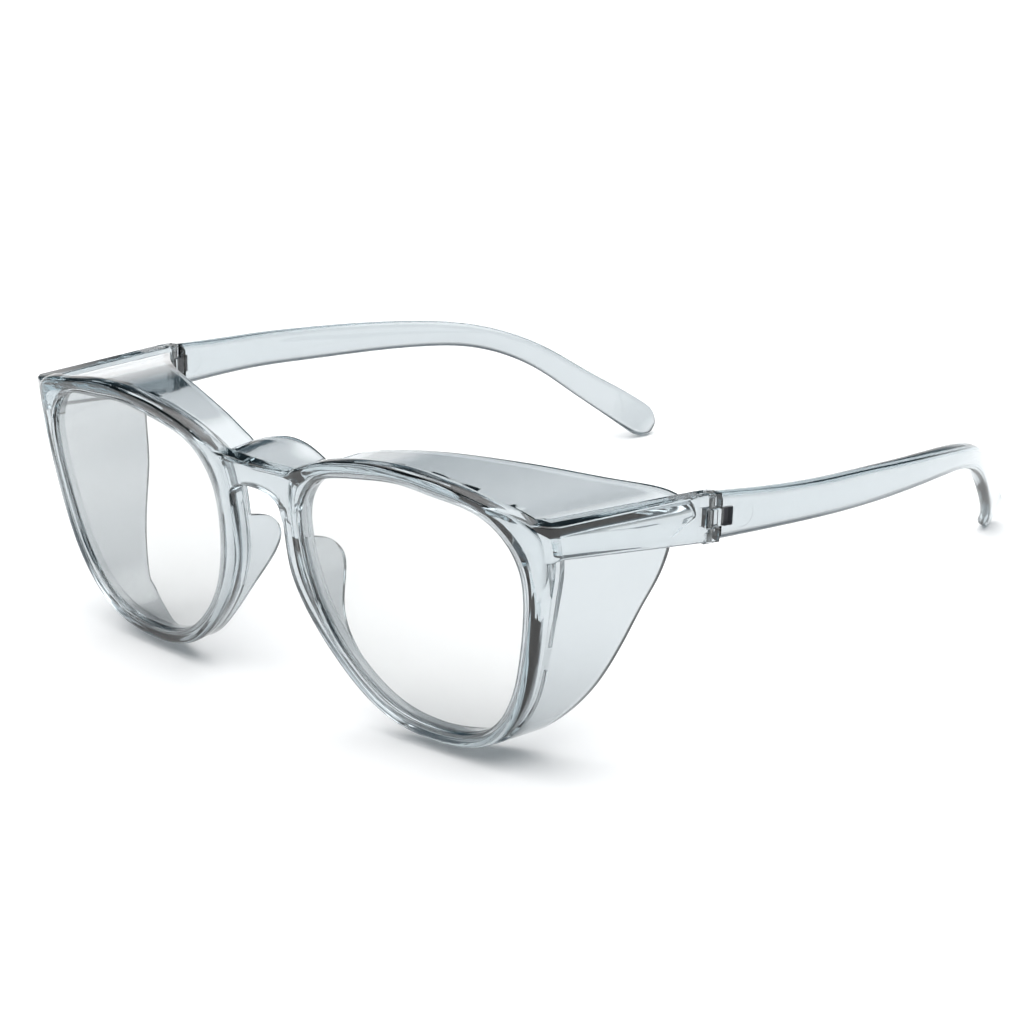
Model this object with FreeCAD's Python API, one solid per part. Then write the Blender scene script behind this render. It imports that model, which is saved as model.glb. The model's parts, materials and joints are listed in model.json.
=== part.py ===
# Clear safety glasses with moulded-in brow shields and side shields.
# Millimetres. +X is the wearer's left, the lenses face -Y, the temples run back along +Y, +Z is up.
# The glasses are drawn with their lens plane upright, then tipped back by REST_PITCH, which is how
# they stand on a table: on the lower rims and on the two temple tips. The origin is on the table,
# under the middle of the whole object.
import FreeCAD, Part
import math
import os

V = FreeCAD.Vector

# ---- driving dimensions -------------------------------------------------------------------------
REST_PITCH = 2.85            # degrees the lens plane leans back when the glasses stand on a table

LENS_THICKNESS = 2.0
LENS_BITE = 0.9              # how far the lens edge reaches into the rim
LENS_SETBACK = 0.9           # lens front face behind the rim's front face
GROOVE_CLEARANCE = 0.06

RIM_DEPTH = 4.6              # front to back
SHIELD_WALL = 1.7
SHIELD_STEP = 0.4            # the rim stands proud of the shields by this much
SHIELD_SETBACK = 1.5         # the shields start this far behind the rim's front face
BRIDGE_DEPTH = 3.4
END_PIECE_DEPTH = 6.1

ARM_TOP_FRONT = 19.7         # end arm, where it leaves the front
ARM_BOTTOM_FRONT = 13.3
ARM_OUTER_FRONT = 72.3
ARM_THICKNESS_FRONT = 4.2
ARM_FRONT_DEPTH = 8.0        # y of the arm's front end, inside the end piece

HINGE_POINT = V(74.2, 40.8, 10.0)  # middle of the left hinge
HINGE_TILT = 10.0            # degrees the hinge axis leans back from the lens plane
HINGE_SPLAY = 8.0            # degrees the arm and the temple point outwards at the hinge
HINGE_HEIGHT = 8.8
KNUCKLE_RADIUS = 1.45
OUTER_FACE = 1.85            # hinge axis to the outer face of the arm and temple
INNER_FACE = 1.75            # hinge axis to their inner face
END_FACE = 1.7               # hinge axis to the flat ends of the arm and temple
CORNER_RELIEF = 0.7          # chamfer on their inner corners, so that the temple can swing in
MIDDLE_KNUCKLE_HALF = 1.6
KNUCKLE_ROOT = 1.5           # how far the middle knuckle's web reaches into the temple
KNUCKLE_CLEARANCE = 0.15

SCREW_RADIUS = 0.60
SCREW_BORE_RADIUS = 0.65
SCREW_HEAD_RADIUS = 1.05
SCREW_HEAD_HEIGHT = 0.8
SCREW_HEAD_SINK = 0.1        # head below the top of the hinge
SCREW_END_SINK = 0.25        # end of the shank above the bottom of the hinge
SCREW_SLOT_WIDTH = 0.4
SCREW_SLOT_DEPTH = 0.3
NUT_ACROSS_FLATS = 1.9
NUT_HEIGHT = 1.4
NUT_SINK = 0.15              # nut above the bottom of the hinge
FIT = 0.03                   # clearance of a pressed-in or screwed-in piece

POCKET_START = 0.3           # blind mould pocket behind the temple's knuckle
POCKET_LENGTH = 2.1
POCKET_HEIGHT = 3.3
POCKET_DEPTH = 1.3

FAR = 60.0                   # long enough to pass right through the front
NEAR = -12.0
OVERCUT = 1.0                # how far a cutting piece sticks out of what it cuts

# Lens opening of the left eye, seen from the front (x, z).
OPENING = [
    (11.6, 7.3), (12.1, 11.0), (13.7, 14.5), (16.3, 17.3), (19.6, 19.2), (23.3, 20.2), (30.0, 21.2),
    (38.8, 22.0), (47.6, 21.2), (54.5, 20.5), (58.2, 19.4), (61.4, 17.4), (63.8, 14.4), (65.1, 10.9),
    (65.3, 7.1), (64.3, 0.0), (62.7, -6.4), (60.5, -12.6), (57.0, -18.2), (51.7, -22.3), (45.2, -24.1),
    (38.8, -24.3), (32.5, -23.5), (26.6, -21.1), (21.5, -17.2), (17.3, -12.4), (14.2, -6.6), (12.3, 0.0),
]

# Outer line of the left rim, seen from the front (x, z).
RIM = [
    (7.0, 4.0), (7.1, 9.5), (7.7, 14.5), (9.6, 18.2), (13.0, 20.0), (17.0, 21.6), (22.5, 23.1),
    (32.6, 24.6), (42.0, 24.8), (51.6, 23.9), (60.0, 22.4), (66.0, 21.1), (69.2, 18.8), (70.2, 14.0),
    (69.2, 7.0), (67.6, 0.0), (65.7, -7.0), (62.8, -14.3), (58.4, -20.5), (52.6, -24.9), (45.7, -26.8),
    (38.8, -27.1), (31.6, -26.2), (24.8, -23.4), (18.7, -18.6), (13.2, -12.4), (9.4, -6.5), (7.4, -1.0),
]

# Front face seen from above (x, y): nearly flat, then swept back at the end pieces.
FRONT_FACE = [(0, 0), (20, 0.8), (40, 1.9), (56, 2.9), (64, 3.6), (67.5, 4.3), (70.5, 5.7), (72.4, 7.3),
              (76, 11.0)]

# Rear edges of the shields.
BROW_EDGE = [(7, 10.2), (14.7, 11.1), (22.7, 12.6), (34.6, 16.2), (45.2, 20.8), (58.0, 29.2), (66.0, 35.2),
             (70.5, 38.0), (74.0, 38.6)]                                       # (x, y)
SIDE_EDGE = [(33.0, 8.0), (31.5, 3.5), (29.6, -1.3), (27.2, -6.4), (24.0, -12.2), (21.1, -17.2),
             (18.6, -21.0), (15.9, -24.5)]                                     # (y, z)
LOWER_EDGE = [(18, 6.3), (30, 7.4), (41, 9.8), (48, 12.9), (55.5, 15.7), (62, 18.0)]   # (x, y)
NOSE_EDGE = [(3.8, 4.6), (8.2, 3.8), (11.7, 1.1), (12.6, -1.6), (12.1, -3.9), (9.5, -8.4), (7.8, -11.5),
             (6.6, -16.0), (6.5, -21.5), (7.0, -24.5)]                         # (y, z)
BROW_FROM = 16.6             # z above which the inner end of the brow shield starts
SIDE_TOP = 8.0               # z where the side shield passes under the arm
LOWER_TOP = -24.5
EYE_MIDDLE = 39.0

# Bridge between the two rims, seen from the front (x, z): its upper line and the opening below it.
BRIDGE_TOP = [(0, 18.4), (5, 18.45), (9.4, 18.9), (13, 20.0), (17, 21.6)]
KEYHOLE = [(7.15, 8.0), (6.9, 10.8), (5.5, 12.3), (3.0, 13.3), (0, 13.6)]

# Small shield behind the bridge: its upper surface at the front and at the back (x, z), and its
# rear edge seen from above (x, y).
BRIDGE_SHIELD_FRONT = [(0, 18.0), (5, 18.2), (9.2, 18.7), (12.0, 19.3)]
BRIDGE_SHIELD_REAR = [(0, 19.7), (5, 19.1), (9.2, 17.8), (12.0, 16.6)]
BRIDGE_SHIELD_EDGE = [(0, 11.8), (5, 11.5), (9.1, 10.8), (13, 10.6)]
BRIDGE_SHIELD_DEPTHS = (2.0, 12.0)      # y of the front and of the back line

# Outer corner of the front, seen from the front (x, z).
END_PIECE = [
    (64.0, 21.5), (71.5, ARM_TOP_FRONT), (ARM_OUTER_FRONT, 19.0), (ARM_OUTER_FRONT, 14.0),
    (71.6, ARM_BOTTOM_FRONT), (69.5, 11.8), (67.5, 12.5), (66.0, 17.0),
]

# Temple: centre of each cross-section (x, y, z), its height, its thickness, and how many degrees
# its top edge is twisted outwards.
TEMPLE = [
    ((74.5, 42.5, 9.7), 8.5, 3.6, 0),
    ((76.0, 54.0, 7.35), 7.7, 3.5, 0),
    ((76.8, 66.0, 5.0), 7.2, 3.4, 0),
    ((76.2, 77.0, 2.75), 7.0, 3.3, 0),
    ((75.0, 88.0, 0.5), 6.6, 3.2, 2),
    ((73.3, 98.0, -1.6), 6.1, 3.2, 4),
    ((71.1, 107.0, -3.7), 5.6, 3.2, 6),
    ((68.1, 116.0, -6.4), 5.1, 3.2, 7),
    ((64.3, 124.2, -10.4), 5.0, 3.0, 5),
    ((60.4, 131.0, -15.6), 5.3, 2.7, 2),
    ((56.6, 136.9, -21.8), 5.9, 2.5, 2),
    ((52.6, 142.9, -28.0), 6.8, 2.4, 14),
    ((49.4, 147.0, -32.6), 7.4, 2.4, 32),
]
EDGE_ROUNDING = 0.42         # edge radius of the temple as a share of its thickness
TIP_ROUND = 4.2              # length of the rounded end after the last section
TIP_STEPS = [(0.55, 0.86), (0.88, 0.55), (1.0, 0.2)]  # share of that length, share of the height left


# ---- curves and solids --------------------------------------------------------------------------
def closed_curve(points):
    """A smooth closed wire through the points."""
    curve = Part.BSplineCurve()
    curve.interpolate(Points=points, PeriodicFlag=True)
    return Part.Wire([curve.toShape()])


def open_curve(points):
    curve = Part.BSplineCurve()
    curve.interpolate(Points=points)
    return curve.toShape()


def offset_outline(outline, distance):
    """Move every point of a clockwise (x, z) outline outwards along its normal."""
    count = len(outline)
    moved = []
    for index, (x, z) in enumerate(outline):
        before = outline[index - 1]
        after = outline[(index + 1) % count]
        along_x = after[0] - before[0]
        along_z = after[1] - before[1]
        length = math.hypot(along_x, along_z)
        moved.append((x - distance * along_z / length, z + distance * along_x / length))
    return moved


def drift(x, z):
    """Slope of the shield walls: how far x and z move for each millimetre towards the back."""
    pad_share = math.exp(-((x - 8.0) / 7.0) ** 2) / (1.0 + math.exp((z - 8.0) / 2.0))
    arm_share = (x / 70.0) ** 4 / (1.0 + math.exp((3.0 - z) / 2.0))
    return 0.045 * x / 70.0 + 0.08 * pad_share + 0.055 * arm_share, -0.07 - 0.0012 * x


def outline_at(outline, y):
    """The outline's points at depth y, following the slope of the shield walls."""
    points = []
    for x, z in outline:
        slope_x, slope_z = drift(x, z)
        points.append(V(x + slope_x * y, y, z + slope_z * y))
    return points


def tube_solid(outline):
    """Solid between the front and the back whose section is the outline."""
    return Part.makeLoft([closed_curve(outline_at(outline, y)) for y in (NEAR, FAR)], True, True)


def straight_solid(outline):
    """Solid whose section is the outline, straight along Y."""
    wire = closed_curve([V(x, NEAR, z) for x, z in outline])
    return Part.Face(wire).extrude(V(0, FAR - NEAR, 0))


def behind_front(setback, depth):
    """Everything between two copies of the front face, setback and setback + depth behind it."""
    ahead = [V(x, y + setback, -FAR) for x, y in FRONT_FACE]
    behind = [V(x, y + setback + depth, -FAR) for x, y in FRONT_FACE]
    edges = [
        open_curve(ahead),
        Part.makeLine(ahead[-1], behind[-1]),
        open_curve(behind),
        Part.makeLine(behind[0], ahead[0]),
    ]
    return Part.Face(Part.Wire(edges)).extrude(V(0, 0, 2 * FAR))


def box(low, high):
    size = V(*high) - V(*low)
    return Part.makeBox(size.x, size.y, size.z, V(*low))


def mirrored(shape):
    return shape.mirror(V(0, 0, 0), V(1, 0, 0))


def keep_in_front_of(edge, to_point, direction):
    """Prism in front of a rear edge: edge is a list of pairs, to_point makes a 3-D point of one."""
    points = [to_point(pair) for pair in edge]
    first, last = points[0], points[-1]
    corners = [V(last.x, NEAR, last.z), V(first.x, NEAR, first.z)]
    edges = [
        open_curve(points),
        Part.makeLine(last, corners[0]),
        Part.makeLine(corners[0], corners[1]),
        Part.makeLine(corners[1], first),
    ]
    return Part.Face(Part.Wire(edges)).extrude(direction)


# ---- front frame, left half ---------------------------------------------------------------------
def shield_half():
    """Brow shield, side shield, lower lip and nose pad: one wall around the left eye."""
    outside = tube_solid(offset_outline(RIM, -SHIELD_STEP))
    inside = tube_solid(offset_outline(RIM, -SHIELD_STEP - SHIELD_WALL))
    wall = outside.cut(inside).common(behind_front(SHIELD_SETBACK, FAR))
    brow = keep_in_front_of(BROW_EDGE, lambda p: V(p[0], p[1], SIDE_TOP), V(0, 0, FAR))
    brow = brow.cut(box((NEAR, NEAR, SIDE_TOP - 1), (EYE_MIDDLE, FAR, BROW_FROM)))
    side = keep_in_front_of(SIDE_EDGE, lambda p: V(EYE_MIDDLE, p[0], p[1]), V(FAR, 0, 0))
    lower = keep_in_front_of(LOWER_EDGE, lambda p: V(p[0], p[1], LOWER_TOP), V(0, 0, -FAR))
    nose = keep_in_front_of(NOSE_EDGE, lambda p: V(EYE_MIDDLE, p[0], p[1]), V(-EYE_MIDDLE, 0, 0))
    pieces = [wall.common(region) for region in (brow, side, lower, nose)]
    return pieces[0].fuse(pieces[1:])


def rim_half():
    """The rim plate, up to the middle of the bridge."""
    rim = straight_solid(RIM)
    bridge_top = [V(x, NEAR, z) for x, z in BRIDGE_TOP]
    keyhole = [V(x, NEAR, z) for x, z in KEYHOLE]
    corner = V(bridge_top[-1].x, NEAR, keyhole[0].z)
    edges = [
        open_curve(bridge_top),
        Part.makeLine(bridge_top[-1], corner),
        Part.makeLine(corner, keyhole[0]),
        open_curve(keyhole),
        Part.makeLine(keyhole[-1], bridge_top[0]),
    ]
    bridge = Part.Face(Part.Wire(edges)).extrude(V(0, FAR - NEAR, 0))
    bridge = bridge.common(behind_front(0, BRIDGE_DEPTH))
    return rim.common(behind_front(0, RIM_DEPTH)).fuse(bridge).cut(straight_solid(OPENING))


def bridge_shield_half():
    """Small shield that rises behind the bridge, between the two brow shields."""
    wires = []
    for depth, pairs in zip(BRIDGE_SHIELD_DEPTHS, (BRIDGE_SHIELD_FRONT, BRIDGE_SHIELD_REAR)):
        line = [V(x, depth, z) for x, z in pairs]
        under = [point - V(0, 0, SHIELD_WALL) for point in line]
        edges = [
            open_curve(line),
            Part.makeLine(line[-1], under[-1]),
            open_curve(under),
            Part.makeLine(under[0], line[0]),
        ]
        wires.append(Part.Wire(edges))
    sheet = Part.makeLoft(wires, True, True)
    region = keep_in_front_of(BRIDGE_SHIELD_EDGE, lambda p: V(p[0], p[1], 0), V(0, 0, FAR))
    return sheet.common(region)


def end_piece():
    """Outer corner of the front, where the rim runs into the arm."""
    points = [V(x, NEAR, z) for x, z in END_PIECE]
    block = Part.Face(Part.makePolygon(points + points[:1])).extrude(V(0, FAR, 0))
    return block.common(behind_front(0, END_PIECE_DEPTH))


def hinge_place(shape):
    """Move a shape from the hinge's own frame (z along the pin, y along the temple) to its place."""
    placed = shape.copy()
    placed.rotate(V(0, 0, 0), V(1, 0, 0), -HINGE_TILT)
    placed.rotate(V(0, 0, 0), V(0, 0, 1), -HINGE_SPLAY)
    placed.translate(HINGE_POINT)
    return placed


def hinge_point(x, y, z):
    return hinge_place(Part.Vertex(x, y, z)).Point


def knuckle(low, high, towards, outer_square_to):
    """A hinge knuckle: a barrel, its web to the body it belongs to, and its square outer corner."""
    height = high - low
    barrel = Part.makeCylinder(KNUCKLE_RADIUS, height, V(0, 0, low))
    web_y = sorted((0.0, towards))
    web = box((-KNUCKLE_RADIUS, web_y[0], low), (OUTER_FACE, web_y[1], high))
    square_y = sorted((0.0, outer_square_to))
    square = box((0, square_y[0], low), (OUTER_FACE, square_y[1], high))
    return barrel.fuse([web, square])


def corner_relief(side):
    """Wedge that chamfers the inner corner of the arm (side -1) or of the temple (side 1)."""
    corner = V(-INNER_FACE, side * END_FACE, -HINGE_HEIGHT)
    points = [
        corner + V(CORNER_RELIEF, 0, 0),
        corner + V(0, side * CORNER_RELIEF, 0),
        corner + V(-OVERCUT, side * CORNER_RELIEF, 0),
        corner + V(-OVERCUT, -side * OVERCUT, 0),
        corner + V(CORNER_RELIEF, -side * OVERCUT, 0),
    ]
    return Part.Face(Part.makePolygon(points + points[:1])).extrude(V(0, 0, 2 * HINGE_HEIGHT))


def arm():
    """End arm with the upper and lower hinge knuckles."""
    inner_front = ARM_OUTER_FRONT - ARM_THICKNESS_FRONT
    front = [
        V(inner_front, ARM_FRONT_DEPTH, ARM_BOTTOM_FRONT),
        V(ARM_OUTER_FRONT, ARM_FRONT_DEPTH, ARM_BOTTOM_FRONT),
        V(ARM_OUTER_FRONT, ARM_FRONT_DEPTH, ARM_TOP_FRONT),
        V(inner_front, ARM_FRONT_DEPTH, ARM_TOP_FRONT),
    ]
    half = HINGE_HEIGHT / 2
    back = [
        hinge_point(-INNER_FACE, -END_FACE, -half),
        hinge_point(OUTER_FACE, -END_FACE, -half),
        hinge_point(OUTER_FACE, -END_FACE, half),
        hinge_point(-INNER_FACE, -END_FACE, half),
    ]
    beam = Part.makeLoft([Part.makePolygon(loop + loop[:1]) for loop in (front, back)], True, True)
    beam = beam.cut(hinge_place(corner_relief(-1)))
    gap = MIDDLE_KNUCKLE_HALF + KNUCKLE_CLEARANCE
    upper = knuckle(gap, half, -END_FACE, KNUCKLE_RADIUS)
    lower = knuckle(-half, -gap, -END_FACE, KNUCKLE_RADIUS)
    bore = Part.makeCylinder(SCREW_BORE_RADIUS, 2 * half, V(0, 0, -half))
    knuckles = upper.fuse(lower).cut(bore)
    knuckles = knuckles.cut(screw_head(FIT)).cut(nut_blank(FIT))
    return beam.fuse(hinge_place(knuckles))


# ---- hinge hardware -----------------------------------------------------------------------------
def screw_head(grow=0.0):
    """Countersunk head at the top of the hinge; grow makes the recess it sits in."""
    top = HINGE_HEIGHT / 2 - SCREW_HEAD_SINK + grow
    height = SCREW_HEAD_HEIGHT + grow
    rim_height = 0.3 * height
    cone_height = height - rim_height
    radius = SCREW_HEAD_RADIUS + grow
    cone = Part.makeCone(SCREW_RADIUS + grow, radius, cone_height, V(0, 0, top - height))
    rim = Part.makeCylinder(radius, rim_height, V(0, 0, top - rim_height))
    return cone.fuse(rim)


def hinge_screw():
    top = HINGE_HEIGHT / 2 - SCREW_HEAD_SINK
    bottom = SCREW_END_SINK - HINGE_HEIGHT / 2
    shank = Part.makeCylinder(SCREW_RADIUS, top - SCREW_HEAD_HEIGHT / 4 - bottom, V(0, 0, bottom))
    reach = SCREW_HEAD_RADIUS + OVERCUT
    half_width = SCREW_SLOT_WIDTH / 2
    slot = box((-reach, -half_width, top - SCREW_SLOT_DEPTH), (reach, half_width, top + OVERCUT))
    return hinge_place(screw_head().fuse(shank).cut(slot).removeSplitter())


def nut_blank(grow=0.0):
    radius = (NUT_ACROSS_FLATS / 2 + grow) / math.cos(math.pi / 6)
    open_end = OVERCUT if grow else 0.0
    low = NUT_SINK - HINGE_HEIGHT / 2 - open_end
    turns = [math.radians(60 * side) for side in range(6)]
    corners = [V(radius * math.cos(turn), radius * math.sin(turn), low) for turn in turns]
    wire = Part.makePolygon(corners + corners[:1])
    return Part.Face(wire).extrude(V(0, 0, NUT_HEIGHT + grow + open_end))


def hinge_nut():
    bore = Part.makeCylinder(SCREW_RADIUS + FIT, 3 * NUT_HEIGHT, V(0, 0, -HINGE_HEIGHT / 2 - OVERCUT))
    return hinge_place(nut_blank().cut(bore))


# ---- lens ---------------------------------------------------------------------------------------
def lens():
    outline = straight_solid(offset_outline(OPENING, LENS_BITE))
    return outline.common(behind_front(LENS_SETBACK, LENS_THICKNESS))


def lens_groove():
    outline = straight_solid(offset_outline(OPENING, LENS_BITE + GROOVE_CLEARANCE))
    slab = behind_front(LENS_SETBACK - GROOVE_CLEARANCE, LENS_THICKNESS + 2 * GROOVE_CLEARANCE)
    return outline.common(slab)


# ---- temple -------------------------------------------------------------------------------------
def rounded_section(centre, along, height, thickness, twist):
    """Rounded rectangle across the temple; along is the temple's direction there."""
    level = along.cross(V(0, 0, 1)).normalize()
    steep = level.cross(along).normalize()
    turn = math.radians(twist)
    across = level * math.cos(turn) - steep * math.sin(turn)
    up = steep * math.cos(turn) + level * math.sin(turn)
    radius = EDGE_ROUNDING * thickness
    half_h, half_t = height / 2, thickness / 2

    def at(a, u):
        return centre + across * a + up * u

    diagonal = radius * (1 - math.sqrt(0.5))
    edges = []
    for sa, su in ((1, 1), (-1, 1), (-1, -1), (1, -1)):
        corner = (at(sa * half_t, su * (half_h - radius)),
                  at(sa * (half_t - diagonal), su * (half_h - diagonal)),
                  at(sa * (half_t - radius), su * half_h))
        if sa * su < 0:
            corner = corner[::-1]
        edges.append(Part.Arc(*corner).toShape())
    ends = [(edge.Vertexes[0].Point, edge.Vertexes[-1].Point) for edge in edges]
    loop = []
    for index, edge in enumerate(edges):
        loop.append(edge)
        loop.append(Part.makeLine(ends[index][1], ends[(index + 1) % 4][0]))
    return Part.Wire(loop)


def temple():
    """Left temple: a curved bar with a paddle tip, and the hinge's middle knuckle."""
    centres = [V(*row[0]) for row in TEMPLE]
    wires = []
    for index, (_, height, thickness, twist) in enumerate(TEMPLE):
        before = centres[max(index - 1, 0)]
        after = centres[min(index + 1, len(centres) - 1)]
        along = (after - before).normalize()
        wires.append(rounded_section(centres[index], along, height, thickness, twist))
    along = (centres[-1] - centres[-2]).normalize()
    _, height, thickness, twist = TEMPLE[-1]
    for step, share in TIP_STEPS:
        centre = centres[-1] + along * (TIP_ROUND * step)
        slim = thickness * (0.4 + 0.6 * share)
        wires.append(rounded_section(centre, along, height * share, slim, twist))
    bar = Part.makeLoft(wires, True, False)
    ahead = hinge_place(box((-FAR, -FAR, -FAR), (FAR, END_FACE, FAR)))
    bar = bar.cut(ahead).cut(hinge_place(corner_relief(1)))
    half = MIDDLE_KNUCKLE_HALF
    root = knuckle(-half, half, END_FACE + KNUCKLE_ROOT, -KNUCKLE_RADIUS)
    root = root.cut(Part.makeCylinder(SCREW_BORE_RADIUS, 4 * half, V(0, 0, -2 * half)))
    start = END_FACE + POCKET_START
    low = (OUTER_FACE - POCKET_DEPTH, start, -POCKET_HEIGHT / 2)
    high = (OUTER_FACE + OVERCUT, start + POCKET_LENGTH, POCKET_HEIGHT / 2)
    pocket = box(low, high)
    return bar.fuse(hinge_place(root)).cut(hinge_place(pocket))


# ---- whole object -------------------------------------------------------------------------------
def front_frame():
    half = rim_half().fuse([shield_half(), bridge_shield_half(), end_piece(), arm()])
    half = half.cut(lens_groove())
    half = half.common(box((0, -20, -FAR), (2 * FAR, 2 * FAR, FAR)))
    return half.fuse(mirrored(half)).removeSplitter()


def stand(shape, lift):
    """Tip the drawn glasses back onto the table and put the origin under their middle."""
    standing = shape.copy()
    standing.rotate(V(0, 0, 0), V(1, 0, 0), REST_PITCH)
    standing.translate(lift)
    return standing


nodes = {"front_frame": front_frame()}
left_pieces = {"lens": lens(), "temple": temple(), "hinge_screw": hinge_screw(), "hinge_nut": hinge_nut()}
for name, shape in left_pieces.items():
    nodes[name + "_left"] = shape
    nodes[name + "_right"] = mirrored(shape)

everything = Part.makeCompound([stand(shape, V(0, 0, 0)) for shape in nodes.values()])
box_all = everything.optimalBoundingBox(False, False)
lift = V(0, -(box_all.YMin + box_all.YMax) / 2, -box_all.ZMin)

os.makedirs("parts", exist_ok=True)
for name, shape in nodes.items():
    placed = stand(shape, lift)
    solids = placed.Solids
    placed = solids[0] if len(solids) == 1 else placed
    print(name, "solids", len(solids), "valid", placed.isValid(), "volume", round(placed.Volume, 1))
    placed.exportStep("parts/" + name + ".step")

pin = hinge_point(0, 0, 0)
pin_top = hinge_point(0, 0, 1)
pin_place = stand(Part.Vertex(pin), lift).Point
pin_axis = stand(Part.Vertex(pin_top), lift).Point - pin_place
print("left hinge at", pin_place, "axis", pin_axis, "lift", lift)
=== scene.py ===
"""Clear moulded safety glasses: the finished surfaces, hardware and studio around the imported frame.

The glasses are drawn in millimetres with the lens plane upright: +X is the wearer's left, the lenses
face -Y, the temples run back along +Y and +Z is up. stand() tips them back onto the table and turns
millimetres into metres.
"""
import json
import math

import bmesh
import bpy
import numpy as np
from bpy.props import FloatProperty, FloatVectorProperty, IntProperty, PointerProperty
from mathutils import Matrix, Vector


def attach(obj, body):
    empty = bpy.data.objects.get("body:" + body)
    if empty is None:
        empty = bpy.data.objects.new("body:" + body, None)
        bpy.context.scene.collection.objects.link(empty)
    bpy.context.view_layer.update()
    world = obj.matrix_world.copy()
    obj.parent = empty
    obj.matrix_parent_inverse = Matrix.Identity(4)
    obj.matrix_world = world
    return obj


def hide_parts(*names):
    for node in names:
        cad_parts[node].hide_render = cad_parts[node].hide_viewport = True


bl_info = {
    "name": "Clear Safety Glasses",
    "version": (1, 0, 0),
    "blender": (4, 5, 0),
    "location": "View3D > Sidebar > Safety Glasses",
    "description": "Builds the moulded front, lenses, temples and hinge hardware of clear safety glasses",
    "category": "Object",
}

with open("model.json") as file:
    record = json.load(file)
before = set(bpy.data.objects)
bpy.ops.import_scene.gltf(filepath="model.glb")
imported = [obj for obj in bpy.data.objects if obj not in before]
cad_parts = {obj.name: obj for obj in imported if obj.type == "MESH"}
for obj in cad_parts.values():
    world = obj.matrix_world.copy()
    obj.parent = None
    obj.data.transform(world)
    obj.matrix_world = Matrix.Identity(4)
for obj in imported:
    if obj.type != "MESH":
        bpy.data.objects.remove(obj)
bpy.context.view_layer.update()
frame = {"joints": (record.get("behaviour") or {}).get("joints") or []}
JOINTS = {joint["name"]: joint for joint in frame["joints"]}

# ---- shared geometry, millimetres ---------------------------------------------------------------
MM = 0.001
REST_PITCH = 2.85                       # degrees the lens plane leans back on the table
HINGE_POINT = Vector((74.2, 40.8, 10.0))
HINGE_TILT = 10.0                       # degrees the hinge axis leans back from the lens plane
HINGE_SPLAY = 8.0                       # degrees the temple points outwards at the hinge
HINGE_HALF = 4.4                        # half the hinge's height
KNUCKLE_RADIUS = 1.45
OUTER_FACE = 1.85                       # hinge axis to the outer face of the arm and temple
INNER_FACE = 1.75                       # hinge axis to their inner face
END_FACE = 1.7                          # hinge axis to the flat ends of the arm and temple
CORNER_RELIEF = 0.7
MIDDLE_KNUCKLE_HALF = 1.6
KNUCKLE_CLEARANCE = 0.15
ARM_KNUCKLE_ROOT = 0.5                  # how far the outer knuckles reach into the arm
TEMPLE_KNUCKLE_ROOT = 1.5               # how far the middle knuckle reaches into the temple
SCREW_HEAD_SINK = 0.1                   # screw head below the top of the hinge
SCREW_END_SINK = 0.25                   # end of the shank above the bottom of the hinge
NUT_SINK = 0.15                         # nut above the bottom of the hinge
SLOT_WIDTH = 0.4
SLOT_DEPTH = 0.3
POCKET = ((0.55, 2.0, -1.65), (1.85, 4.1, 1.65))      # corners of the temple's pocket, at the hinge
EYE_MIDDLE = (39.0, -1.0)

# Lens opening of the left eye, clockwise from its nose side (x, z).
OPENING = [
    (11.6, 7.3), (12.1, 11.0), (13.7, 14.5), (16.3, 17.3), (19.6, 19.2), (23.3, 20.2), (30.0, 21.2),
    (38.8, 22.0), (47.6, 21.2), (54.5, 20.5), (58.2, 19.4), (61.4, 17.4), (63.8, 14.4), (65.1, 10.9),
    (65.3, 7.1), (64.3, 0.0), (62.7, -6.4), (60.5, -12.6), (57.0, -18.2), (51.7, -22.3), (45.2, -24.1),
    (38.8, -24.3), (32.5, -23.5), (26.6, -21.1), (21.5, -17.2), (17.3, -12.4), (14.2, -6.6), (12.3, 0.0),
]

# Outer line of the left rim (x, z).
RIM = [
    (7.0, 4.0), (7.1, 9.5), (7.7, 14.5), (9.6, 18.2), (13.0, 20.0), (17.0, 21.6), (22.5, 23.1),
    (32.6, 24.6), (42.0, 24.8), (51.6, 23.9), (60.0, 22.4), (66.0, 21.1), (69.2, 18.8), (70.2, 14.0),
    (69.2, 7.0), (67.6, 0.0), (65.7, -7.0), (62.8, -14.3), (58.4, -20.5), (52.6, -24.9), (45.7, -26.8),
    (38.8, -27.1), (31.6, -26.2), (24.8, -23.4), (18.7, -18.6), (13.2, -12.4), (9.4, -6.5), (7.4, -1.0),
]

# Front face seen from above (x, y).
FRONT_FACE = [(0, 0), (20, 0.8), (40, 1.9), (56, 2.9), (64, 3.6), (67.5, 4.3), (70.5, 5.7), (72.4, 7.3),
              (76, 11.0)]

# Rear edges of the shields: how far back (y) each one reaches.
BROW_EDGE = [(7, 10.2), (14.7, 11.1), (22.7, 12.6), (34.6, 16.2), (45.2, 20.8), (58.0, 29.2),
             (66.0, 35.2), (70.5, 38.0), (74.0, 38.6)]                         # (x, y)
LOWER_EDGE = [(18, 6.3), (30, 7.4), (41, 9.8), (48, 12.9), (55.5, 15.7), (62, 18.0)]   # (x, y)
SIDE_EDGE = [(8.0, 33.0), (3.5, 31.5), (-1.3, 29.6), (-6.4, 27.2), (-12.2, 24.0), (-17.2, 21.1),
             (-21.0, 18.6), (-24.5, 15.9)]                                     # (z, y)
NOSE_EDGE = [(4.6, 3.8), (3.8, 8.2), (1.1, 11.7), (-1.6, 12.6), (-3.9, 12.1), (-8.4, 9.5),
             (-11.5, 7.8), (-16.0, 6.6), (-21.5, 6.5), (-24.5, 7.0)]           # (z, y)

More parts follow.
